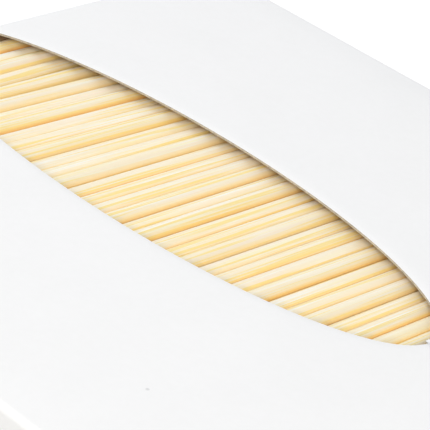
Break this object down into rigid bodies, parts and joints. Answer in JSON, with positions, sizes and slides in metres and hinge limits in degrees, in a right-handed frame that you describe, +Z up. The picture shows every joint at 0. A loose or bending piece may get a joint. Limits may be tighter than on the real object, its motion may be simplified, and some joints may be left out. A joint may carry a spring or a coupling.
{
  "type": "pack of toothpicks",
  "caption": "Flat paperboard carton filled with layers of loose round wooden toothpicks, seen through an elliptical window in its top panel",
  "frame": {"origin": "middle of the carton's underside", "axes": "+Z up through the windowed top panel, X along the length of the carton with the window nearer to -X, Y across it along the toothpicks, +Y to the side with the glue seam"},
  "size_m": [0.095, 0.0714, 0.0145],
  "materials": {
    "paperboard": "smooth coated white board, dull sheen",
    "pick_wood": "bare pale birch, turned and polished smooth"
  },
  "bodies": {
    "root": {"carton": "paperboard", "toothpick_01": "pick_wood", "toothpick_02": "pick_wood", "toothpick_03": "pick_wood", "toothpick_04": "pick_wood", "toothpick_05": "pick_wood", "toothpick_06": "pick_wood", "toothpick_07": "pick_wood", "toothpick_08": "pick_wood", "toothpick_09": "pick_wood", "toothpick_10": "pick_wood", "toothpick_11": "pick_wood", "toothpick_12": "pick_wood", "toothpick_13": "pick_wood", "toothpick_14": "pick_wood", "toothpick_15": "pick_wood", "toothpick_16": "pick_wood", "toothpick_17": "pick_wood", "toothpick_18": "pick_wood", "toothpick_19": "pick_wood", "toothpick_20": "pick_wood", "toothpick_21": "pick_wood", "toothpick_22": "pick_wood", "toothpick_23": "pick_wood", "toothpick_24": "pick_wood", "toothpick_25": "pick_wood", "toothpick_26": "pick_wood", "toothpick_27": "pick_wood", "toothpick_28": "pick_wood", "toothpick_29": "pick_wood", "toothpick_30": "pick_wood", "toothpick_31": "pick_wood", "toothpick_32": "pick_wood", "toothpick_33": "pick_wood", "toothpick_34": "pick_wood", "toothpick_35": "pick_wood", "toothpick_36": "pick_wood", "toothpick_row_top": "pick_wood", "toothpick_row_01": "pick_wood", "toothpick_row_02": "pick_wood", "toothpick_row_03": "pick_wood", "toothpick_row_04": "pick_wood", "toothpick_row_05": "pick_wood", "toothpick_row_06": "pick_wood", "toothpick_row_07": "pick_wood", "toothpick_row_08": "pick_wood"}
  },
  "joints": []
}
